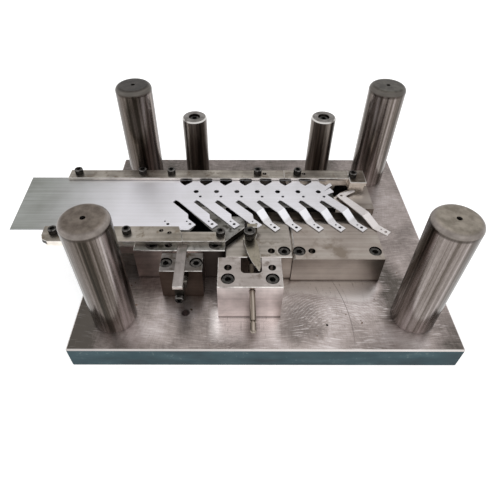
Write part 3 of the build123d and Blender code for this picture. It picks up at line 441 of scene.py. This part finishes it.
def cap_screw_tree(material):
    """Socket head cap screws: knurled head with a bevelled rim, hexagon socket and shank."""
    knurls, knurl_root = 40, 0.955
    bevel, rim_width = 0.1, 0.88
    corner_share, sixth_turn = 0.577, 1.047
    tree, given = new_tree("cap_screws", **{
        "Head Radius": 0.005, "Head Height": 0.006, "Key Width": 0.005,
        "Shank Radius": 0.003, "Shank Length": 0.016})
    star = add_node(tree, "GeometryNodeCurveStar", None, {
        "Points": knurls, "Inner Radius": times(tree, given["Head Radius"], knurl_root),
        "Outer Radius": given["Head Radius"]})
    disc = add_node(tree, "GeometryNodeFillCurve", {"mode": "NGONS"}, {"Curve": star.outputs["Curve"]})
    body = add_node(tree, "GeometryNodeExtrudeMesh", None, {
        "Mesh": disc.outputs["Mesh"], "Individual": False,
        "Offset Scale": times(tree, given["Head Height"], 1 - bevel)})
    crown = add_node(tree, "GeometryNodeExtrudeMesh", None, {
        "Mesh": body.outputs["Mesh"], "Selection": body.outputs["Top"], "Individual": False,
        "Offset Scale": times(tree, given["Head Height"], bevel)})
    crowned = add_node(tree, "GeometryNodeScaleElements", None, {
        "Geometry": crown.outputs["Mesh"], "Selection": crown.outputs["Top"], "Scale": rim_width})
    underside = add_node(tree, "GeometryNodeFlipFaces", None, {"Mesh": disc.outputs["Mesh"]})
    closed = add_node(tree, "GeometryNodeJoinGeometry")
    tree.links.new(underside.outputs[0], closed.inputs[0])
    tree.links.new(crowned.outputs[0], closed.inputs[0])
    welded = add_node(tree, "GeometryNodeMergeByDistance", None, {
        "Geometry": closed.outputs[0], "Distance": 1e-6})
    key = add_node(tree, "GeometryNodeMeshCylinder", None, {
        "Vertices": 6, "Radius": times(tree, given["Key Width"], corner_share),
        "Depth": given["Head Height"]})
    key_up = add_node(tree, "ShaderNodeCombineXYZ", None, {"Z": given["Head Height"]})
    key_place = add_node(tree, "GeometryNodeTransform", None, {
        "Geometry": key.outputs["Mesh"], "Translation": key_up.outputs[0]})
    head = add_node(tree, "GeometryNodeMeshBoolean", {"operation": "DIFFERENCE", "solver": "EXACT"}, {
        "Mesh 1": welded.outputs[0], "Mesh 2": key_place.outputs[0]})
    shank = add_node(tree, "GeometryNodeMeshCylinder", None, {
        "Vertices": 24, "Radius": given["Shank Radius"], "Depth": given["Shank Length"]})
    shank_down = add_node(tree, "ShaderNodeCombineXYZ", None, {
        "Z": times(tree, given["Shank Length"], -0.5)})
    shank_place = add_node(tree, "GeometryNodeTransform", None, {
        "Geometry": shank.outputs["Mesh"], "Translation": shank_down.outputs[0]})
    whole = add_node(tree, "GeometryNodeJoinGeometry")
    tree.links.new(head.outputs["Mesh"], whole.inputs[0])
    tree.links.new(shank_place.outputs[0], whole.inputs[0])
    index = add_node(tree, "GeometryNodeInputIndex")
    spin = add_node(tree, "FunctionNodeRandomValue", {"data_type": "FLOAT"}, {
        2: 0.0, 3: sixth_turn, "ID": index.outputs[0], "Seed": 4})
    spin_z = add_node(tree, "ShaderNodeCombineXYZ", None, {"Z": spin.outputs[1]})
    turn = add_node(tree, "FunctionNodeEulerToRotation", None, {0: spin_z.outputs[0]})
    set_out(tree, given["Seats"], whole.outputs[0], material, turn.outputs[0])
    return tree


black_finish, place = finish("black_oxide")
wear = place.noise(260.0, 3.0, rough=0.6)
# painted highlight: lighter rims on the heads, broken up by wear
rim = edge_break(place)
colour = wear.ramp((0.4, (0.016, 0.015, 0.014)), (0.62, (0.070, 0.064, 0.058)))
colour = (rim * wear.above(0.45, 0.1)).blend(colour, (0.20, 0.19, 0.18))
metal(place, colour, wear * 0.2 + 0.26, 0.8)
cap_screws = cap_screw_tree(black_finish)


def fit_cap_screws(node, radius, height, key, shank):
    """Replaces a node's plain screws by turned ones of the same size, in the same seats."""
    lengths = {}
    for low, high in solids_of(node):
        seat = ((low.x + high.x) / 2, (low.y + high.y) / 2, high.z - height)
        lengths.setdefault(round(high.z - height - low.z, 5), []).append(seat)
    batches = [grown(node + "_batch", seats, cap_screws, {
        "Head Radius": radius, "Head Height": height, "Key Width": key,
        "Shank Radius": shank, "Shank Length": length}) for length, seats in lengths.items()]
    piece = joined(node + "_turned", batches)
    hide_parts(node)
    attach(piece, "base")


# head radius, head height, key width and shank radius
M8 = (0.0065, 0.008, 0.006, 0.004)
M6 = (0.005, 0.006, 0.005, 0.003)
M5 = (0.00475, 0.005, 0.004, 0.0025)
fit_cap_screws("limit_post_screws", *M8)


# ---- Die plate, die blocks and forming insert -------------------------------------------
# Hardened tool steel blocks, surface ground along X, then stained by oil and handling, with
# painted light and shade on their walls, edges and tops. The left plate, which pierces the strip,
# is made of three sections that meet along ground seams; the lower blocks on the right form the
# strip's arms round a screwed-in insert.
def ground_steel(name, low, mid, high, stain, sides=None, grain=(260.0, (0.03, 1, 1)), patch=17.0,
                 edge=0.62, bands=(), shaded=None):
    """Surface ground steel: parallel lines, cloudy patches, oil stains, painted highlights on the edge
    breaks.
    Each band runs along X between two values of Y and has a tone and a share of its own; the bands
    are painted shade or painted light.
    A shaded part of the walls, between two values of X, is painted black as shade."""
    made, place = finish(name)
    x, y, z = place.split()
    lines = place.noise(grain[0], 3.0, grain[1])
    patches = place.noise(patch, 5.0, rough=0.62)
    spots = place.noise(patch * 3.2, 4.0, rough=0.65)
    tone = (patches * 0.72 + lines * 0.28).ramp((0.36, low), (0.50, mid), (0.64, high))
    tone = spots.above(0.60, 0.07).blend(tone, stain)
    across, along, up = [abs(part) for part in facing(place)]
    # painted light and shade: walls take a tone of their own, lighter or darker than the top as light
    # falls on them
    if sides:
        darker, lighter = [tuple(part * c for c in sides) for part in (0.7, 1.3)]
        wall = (patches * 0.78 + lines * 0.22).ramp((0.38, darker), (0.5, sides), (0.62, lighter))
        # painted contact shade and rust: a dark brown line along the foot of each wall
        wall = (z.below(SHOE_TOP + 0.0015, 0.0015) * 0.85).blend(wall, (0.045, 0.028, 0.018))
        # painted shade: the shaded part of the walls black
        if shaded:
            wall = (x.between(*shaded) * 0.9).blend(wall, (0.03, 0.026, 0.022))
        tone = up.below(0.6, 0.1).blend(tone, wall)
    # painted shade: walls that face slantwise, and the walls of holes, dark
    slant_shade = up.below(0.3, 0.1) * across.above(0.3, 0.05) * along.above(0.3, 0.05)
    tone = slant_shade.blend(tone, (0.035, 0.032, 0.028))
    # painted highlight: bright edge breaks, broken up by the spots
    edge_highlight = edge_break(place) * spots.above(0.42, 0.1)
    tone = edge_highlight.blend(tone, (edge, edge * 0.96, edge * 0.92))
    # painted shade and painted light in bands along X
    for front, rear, own, share in bands:
        within = y.between(front, rear) * up.above(0.6, 0.1)
        tone = (within * share * (0.7 + spots * 0.6)).blend(tone, own)
    metal(place, tone, patches * 0.2 + 0.22, 1.0, lines, 0.08)
    return made


# painted shade: a dark band under the strip, on the plate and the insert
strip_shadow_band = (0.002, 0.075, (0.025, 0.023, 0.020), 0.9)
# the plate's low tones are dark as painted shade under the strip's arms; its walls take a painted light
# tone, blackened as painted shade between the finger and lever blocks
plate_finish = ground_steel(
    "plate_oily_shaded_steel", (0.045, 0.043, 0.037), (0.12, 0.115, 0.105), (0.27, 0.26, 0.25),
    (0.03, 0.028, 0.022), (0.62, 0.52, 0.49), patch=24.0, bands=(strip_shadow_band,), shaded=(-0.068, -0.02))
dress(plate_finish, "die_plate_left", "piercing_plate", "pilot_plate", "shelf_bracket")
# painted shade under the strip
strip_shade = (0.095, 0.087, 0.078)
# painted shade under the strip and under the rear rail
middle_finish = ground_steel(
    "middle_block_steel", (0.16, 0.145, 0.125), (0.25, 0.225, 0.20), (0.34, 0.31, 0.285),
    (0.12, 0.10, 0.075), (0.36, 0.32, 0.28),
    bands=((-0.016, 0.03, strip_shade, 0.9), (0.03, 0.12, (0.02, 0.018, 0.016), 0.9)))
dress(middle_finish, "die_block_middle")
# painted shade under the strip, and painted light on the rear part of the top
right_finish = ground_steel(
    "right_block_steel", (0.18, 0.155, 0.135), (0.255, 0.22, 0.195), (0.33, 0.30, 0.27),
    (0.17, 0.14, 0.115), (0.34, 0.30, 0.265), patch=13.0,
    bands=((-0.016, 0.0015, strip_shade, 0.9), (0.02, 0.2, (0.55, 0.50, 0.46), 0.75)))
dress(right_finish, "die_block_right")
insert_finish = ground_steel(
    "insert_steel", (0.05, 0.048, 0.045), (0.11, 0.105, 0.10), (0.24, 0.235, 0.23),
    (0.04, 0.036, 0.032), (0.10, 0.095, 0.09), patch=30.0, edge=0.16, bands=(strip_shadow_band,))
dress(insert_finish, "form_insert")
fit_cap_screws("block_screws", *M8)
fit_cap_screws("insert_screws", *M5)

dowel_finish, place = finish("dowel_hardened_steel")
haze = place.noise(180.0, 3.0)
metal(place, haze.ramp((0.35, (0.04, 0.035, 0.030)), (0.65, (0.12, 0.11, 0.10))), haze * 0.2 + 0.2)
dress(dowel_finish, "block_dowels", "lever_block_dowels", "rail_dowels")


# ---- Stock shelf and rails --------------------------------------------------------------
# Ground flat bars with a slot for the strip's edges, screwed and dowelled to the blocks; to
# the left a thin shelf carries them out under the incoming strip.
# painted highlight: the rails' walls much lighter than their tops
rail_finish = ground_steel(
    "rail_ground_steel", (0.13, 0.115, 0.10), (0.25, 0.225, 0.195), (0.38, 0.35, 0.31),
    (0.13, 0.105, 0.08), (0.86, 0.80, 0.74), patch=26.0)
dress(rail_finish, "rear_rail_left", "rear_rail_right", "rail_end_plate", "rail_spacer")
front_rail_finish = ground_steel(
    "front_rail_steel", (0.14, 0.125, 0.105), (0.235, 0.21, 0.18), (0.33, 0.30, 0.265),
    (0.15, 0.125, 0.095), (0.86, 0.80, 0.73), patch=30.0)
dress(front_rail_finish, "front_rail_long", "front_rail_short", "stock_shelf")
fit_cap_screws("rail_screws", *M6)


# ---- Finger stop ------------------------------------------------------------------------
# A bar slides in a slotted block to stop the first strip end. The lug under its front end
# runs on a guide screw, and a return spring on a spigot pushes it back.
# painted shade: the finger block's walls dark brown
finger_block_finish = ground_steel(
    "finger_block_steel", (0.050, 0.042, 0.034), (0.11, 0.10, 0.095), (0.20, 0.19, 0.18),
    (0.035, 0.026, 0.018), (0.095, 0.070, 0.055), patch=28.0)
dress(finger_block_finish, "finger_block")
fit_cap_screws("finger_block_screws", *M8)
# painted highlight: the bar's walls and its end much lighter than its top
bar_finish = ground_steel(
    "finger_bar_steel", (0.13, 0.115, 0.11), (0.19, 0.17, 0.16), (0.26, 0.235, 0.225),
    (0.11, 0.10, 0.09), (0.88, 0.80, 0.76), grain=(240.0, (1, 0.03, 1)), patch=30.0)
dress(bar_finish, "finger_bar")
lug_finish = ground_steel(
    "finger_lug_steel", (0.030, 0.027, 0.022), (0.075, 0.068, 0.058), (0.17, 0.155, 0.14),
    (0.02, 0.016, 0.012), patch=60.0)
dress(lug_finish, "finger_lug")
dress(black_finish, "finger_guide_screw")

rod_finish, place = finish("rod_drawn_steel")
draw = place.noise(420.0, 3.0, (1, 0.03, 1))
colour = draw.ramp((0.35, (0.10, 0.08, 0.062)), (0.5, (0.20, 0.165, 0.135)), (0.66, (0.38, 0.33, 0.29)))
LUG_REAR = -0.112
# painted shade and oil: the rod darker towards the rear, inside the blocks
oiled = place.split()[1].above(LUG_REAR, 0.004)
metal(place, oiled.blend(colour, (0.05, 0.04, 0.03)), draw * 0.15 + 0.2, 1.0, draw, 0.05)
dress(rod_finish, "finger_spigot")


def spring_tree(material):
    """Round-wire coil springs, each starting at its seat and turned to lie along its axis."""
    tree, given = new_tree("coil_springs", **{
        "Coil Radius": 0.0036, "Wire Radius": 0.0005, "Length": 0.01, "Turns": 5.0,
        "Lie": (0.0, 0.0, 0.0)})
    spiral = add_node(tree, "GeometryNodeCurveSpiral", None, {
        "Resolution": 24, "Rotations": given["Turns"], "Start Radius": given["Coil Radius"],
        "End Radius": given["Coil Radius"], "Height": given["Length"]})
    wire = add_node(tree, "GeometryNodeCurvePrimitiveCircle", None, {
        "Resolution": 10, "Radius": given["Wire Radius"]})
    coil = add_node(tree, "GeometryNodeCurveToMesh", None, {
        "Curve": spiral.outputs[0], "Profile Curve": wire.outputs[0], "Fill Caps": True})
    lie = add_node(tree, "FunctionNodeEulerToRotation", None, {0: given["Lie"]})
    set_out(tree, given["Seats"], coil.outputs[0], material, lie.outputs[0])
    return tree


spring_finish, place = finish("spring_wire")
haze = place.noise(300.0, 2.0)
colour = haze.ramp((0.35, (0.022, 0.019, 0.016)), (0.65, (0.075, 0.066, 0.056)))
metal(place, colour, haze * 0.2 + 0.2, 0.95)
coil_springs = spring_tree(spring_finish)


def fit_spring(node, wire_radius, turns, upright=False):
    """Winds a round-wire spring into the space of a node's plain one. It stands upright, or
    lies along Y with its start at the rear."""
    low, high = [Vector(corner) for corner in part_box(node)]
    middle = (low + high) / 2
    if upright:
        seat = (middle.x, middle.y, low.z + wire_radius)
        length, lie = high.z - low.z, (0.0, 0.0, 0.0)
    else:
        seat = (middle.x, high.y - wire_radius, middle.z)
        length, lie = high.y - low.y, (math.pi / 2, 0.0, 0.0)
    piece = grown(node + "_wound", [seat], coil_springs, {
        "Coil Radius": (high.x - low.x) / 2 - wire_radius, "Wire Radius": wire_radius,
        "Length": length - 2 * wire_radius, "Turns": turns, "Lie": lie})
    for face in piece.data.polygons:
        face.use_smooth = True
    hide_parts(node)
    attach(piece, "base")


fit_spring("finger_spring", wire_radius=0.0006, turns=3.5)


# ---- Lever stop -------------------------------------------------------------------------
# A ground block holds a sprung plunger. The curved lever turns on a cap screw, its upright
# tail feels the arms of the strip, and its front end pushes the plunger.
# painted highlight: the lever block's walls lighter than its top
lever_block_finish = ground_steel(
    "lever_block_steel", (0.19, 0.165, 0.15), (0.27, 0.24, 0.225), (0.39, 0.36, 0.345),
    (0.15, 0.125, 0.11), (0.66, 0.58, 0.56), grain=(200.0, (0.04, 1, 1)), patch=22.0, edge=0.75)
dress(lever_block_finish, "lever_block")
fit_cap_screws("lever_block_screws", *M8)
lever_finish = ground_steel(
    "lever_steel", (0.17, 0.15, 0.115), (0.24, 0.215, 0.175), (0.31, 0.285, 0.24),
    (0.13, 0.115, 0.09), (0.20, 0.18, 0.15), grain=(300.0, (1, 0.05, 1)), patch=34.0)
dress(lever_finish, "lever")
dress(black_finish, "lever_pivot_screw")
dress(rod_finish, "plunger_rod")
fit_spring("lever_hold_spring", wire_radius=0.00065, turns=5.5, upright=True)
fit_spring("plunger_spring", wire_radius=0.0006, turns=4.0)


# ---- Carrier strip and finished part ----------------------------------------------------
# Bright rolled sheet, 1 mm thick. The strip feeds from the left, is cut into slanted arms and
# has its arms bent down; the finished part is the last arm, cut free.
def bright_sheet(name, low, high, bent_highlight, tab_tone):
    """Rolled sheet: fine lines along X, slow haze, bends painted lighter as a highlight, tabs that
    were pressed flat below the level of the strip. The end that has yet to reach the die is darker."""
    made, place = finish(name)
    x, _, z = place.split()
    roll = place.noise(420.0, 3.0, (0.02, 1, 1))
    haze = place.noise(18.0, 3.0)
    cloud = roll * 0.35 + haze * 0.65
    darker_end = cloud.ramp((0.36, (0.20, 0.205, 0.185)), (0.64, (0.33, 0.34, 0.325)))
    tone = x.below(DIE_LEFT_END, 0.05).blend(cloud.ramp((0.36, low), (0.64, high)), darker_end)
    # painted highlight: bent faces lighter
    tone = facing(place)[2].below(0.93, 0.03).blend(tone, bent_highlight)
    tone = z.below(TAB_LEVEL, 0.0008).blend(tone, tab_tone)
    metal(place, tone, haze * 0.15 + 0.36, 0.7, roll, 0.04)
    return made


DIE_LEFT_END = -0.215
TAB_LEVEL = 0.069
strip_finish = bright_sheet("sheet_bright_rolled", (0.60, 0.59, 0.61), (0.70, 0.69, 0.73),
                            bent_highlight=(0.88, 0.88, 0.92), tab_tone=(0.68, 0.665, 0.68))
dress(strip_finish, "carrier_strip")
part_finish = bright_sheet("sheet_finished_part", (0.66, 0.62, 0.61), (0.80, 0.76, 0.75),
                           bent_highlight=(0.84, 0.80, 0.80), tab_tone=(0.70, 0.66, 0.65))
dress(part_finish, "finished_part")


# ---- Hole shade discs -------------------------------------------------------------------
# Thin dark discs set flush in the die faces under the pilot and tab holes, one at each stop of
# the strip: painted shade, so that the holes look dark.
def shade_disc_tree(material):
    """Painted shade: a thin dark round disc on each seat."""
    tree, given = new_tree("hole_shade_discs", **{"Radius": 0.002, "Stands": 0.0002})
    disc = add_node(tree, "GeometryNodeMeshCylinder", None, {
        "Vertices": 20, "Radius": given["Radius"], "Depth": given["Stands"]})
    set_out(tree, given["Seats"], disc.outputs["Mesh"], material)
    return tree


PITCH = 0.0252
ARM_SLANT = math.radians(48.0)
FIRST_SLOT = (-0.1004, 0.012)
LOW_FACE, HIGH_FACE = 0.06606, 0.07406
SHADE_DISC_STANDS = 0.00012


def under_arm(station, along, across, level):
    """Point under the arm at a station, from its slot end and its left edge."""
    right, rear = math.cos(ARM_SLANT), math.sin(ARM_SLANT)
    slot_x = FIRST_SLOT[0] + PITCH * (station - 1)
    return (slot_x + along * right + across * rear, FIRST_SLOT[1] - along * rear + across * right, level)


# painted shade: a near black finish for the discs
hole_shade_finish, place = finish("hole_shade_dark")
haze = place.noise(300.0, 2.0)
metal(place, haze.ramp((0.3, (0.006, 0.006, 0.006)), (0.7, (0.022, 0.02, 0.018))), 0.4, 0.8)
hole_shade_discs = shade_disc_tree(hole_shade_finish)
shade_discs = []
for radius, along in ((0.00125, 0.0534), (0.00195, 0.0594)):
    seats = [under_arm(station, along - 0.0046, 0.00404, LOW_FACE) for station in range(4, 9)]
    seats.append(under_arm(2, along, 0.0045, HIGH_FACE))
    shade_discs.append(grown("tab_bushes", seats, hole_shade_discs, {"Radius": radius, "Stands": SHADE_DISC_STANDS}))
for radius, seat_x, seat_y in ((0.0034, -0.0795, 0.0299), (0.00205, -0.0738, 0.0203)):
    seats = [(seat_x + PITCH * step, seat_y, HIGH_FACE) for step in (1, 2)]
    shade_discs.append(grown("strip_bushes", seats, hole_shade_discs, {"Radius": radius, "Stands": SHADE_DISC_STANDS}))
shade_discs = joined("hole_shade_discs", shade_discs)
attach(shade_discs, "base")


# ---- Camera, floor and studio -----------------------------------------------------------
# The die stands on a white floor in a white studio. Broad soft lamps above and in front of it
# keep its colours about as they are set.
camera = bpy.data.objects.new("camera", bpy.data.cameras.new("camera"))
camera.data.lens = 31.31
camera.data.sensor_width = 36.0
camera.data.shift_x = 0.0242
camera.data.shift_y = -0.0191
camera.data.clip_start = 0.01
camera.location = (-0.02775, -0.39298, 0.41364)
looks_down = 45.08
camera.rotation_euler = (math.radians(90 - looks_down), -0.0013, 0.0013)
bpy.context.scene.collection.objects.link(camera)
bpy.context.scene.camera = camera
bpy.context.scene.view_settings.view_transform = "Standard"


def softbox(name, place, aim, size, power):
    """A flat rectangular lamp that faces a point."""
    lamp = bpy.data.lights.new(name, "AREA")
    lamp.shape = "RECTANGLE"
    lamp.size, lamp.size_y = size
    lamp.energy = power
    holder = bpy.data.objects.new(name, lamp)
    holder.location = place
    holder.rotation_euler = (Vector(aim) - Vector(place)).to_track_quat("-Z", "Y").to_euler()
    bpy.context.scene.collection.objects.link(holder)


softbox("overhead_softbox", (0.1, 0.45, 1.25), (0, 0, 0), (1.6, 1.1), 2.6)
softbox("front_softbox", (0.5, -1.3, 0.9), (0, 0, 0.05), (1.2, 0.9), 1.6)
softbox("left_softbox", (-1.3, -0.2, 0.8), (0, 0, 0.05), (0.7, 0.9), 1.0)

reach = 6.0
floor_mesh = bpy.data.meshes.new("floor")
floor_mesh.from_pydata([(-reach, -reach, 0), (reach, -reach, 0), (reach, reach, 0), (-reach, reach, 0)],
                       [], [(0, 1, 2, 3)])
floor = bpy.data.objects.new("floor", floor_mesh)
bpy.context.scene.collection.objects.link(floor)


def background_rays(start):
    """1 for rays that should meet the white background: straight, mirrored or let through."""
    seen = start.node("ShaderNodeLightPath", output="Is Camera Ray")
    mirrored = start.node("ShaderNodeLightPath", output="Is Glossy Ray")
    through = start.node("ShaderNodeLightPath", output="Is Transmission Ray")
    return seen.most(mirrored, through)


floor_finish, place = finish("floor_white")
diffuse = place.node("ShaderNodeBsdfDiffuse", None, {"Color": (0.88, 0.88, 0.88, 1)})
glow = place.node("ShaderNodeEmission", None, {"Strength": background_rays(place) * 0.6})
both = place.node("ShaderNodeAddShader", None, {0: diffuse, 1: glow})
place.node("ShaderNodeOutputMaterial", None, {"Surface": both})
floor_mesh.materials.append(floor_finish)

world = bpy.data.worlds.new("studio")
world.use_nodes = True
world.node_tree.nodes.clear()
sky = Wire(world.node_tree)
background = sky.node("ShaderNodeBackground", None, {
    "Color": (1, 1, 1, 1), "Strength": background_rays(sky) * 0.4 + 0.6})
sky.node("ShaderNodeOutputWorld", None, {"Surface": background})
bpy.context.scene.world = world
